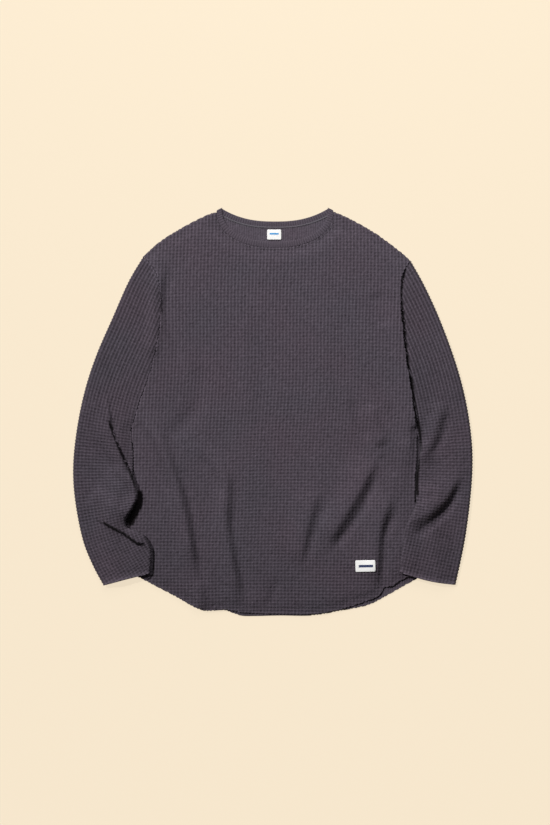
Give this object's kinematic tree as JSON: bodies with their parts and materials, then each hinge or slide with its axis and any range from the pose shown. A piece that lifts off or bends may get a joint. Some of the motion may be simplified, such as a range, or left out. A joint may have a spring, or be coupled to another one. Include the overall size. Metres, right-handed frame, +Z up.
{
  "type": "long-sleeved thermal top",
  "caption": "Loose waffle-knit thermal top laid flat on its back, with long sleeves folded down the sides, a banded round neck and a curved shirt-tail hem.",
  "frame": {"origin": "centre of the bounding box in plan, on the surface that the top lies on", "axes": "+Z up from the surface through the thin layers, +Y from the hem toward the neck, +X toward the wearer's left sleeve, which is on the right in the picture"},
  "size_m": [0.7074, 0.7208, 0.0257],
  "materials": {
    "waffle_knit": "matte charcoal waffle knit with a faint plum cast",
    "plain_knit": "matte charcoal fine plain knit",
    "woven_label": "white woven tape with a plain coloured bar"
  },
  "bodies": {
    "root": {"front": "waffle_knit", "back": "waffle_knit", "sleeve_right": "waffle_knit", "sleeve_left": "waffle_knit", "neckband": "plain_knit", "neck_label": "woven_label", "hem_label": "woven_label"}
  },
  "joints": []
}
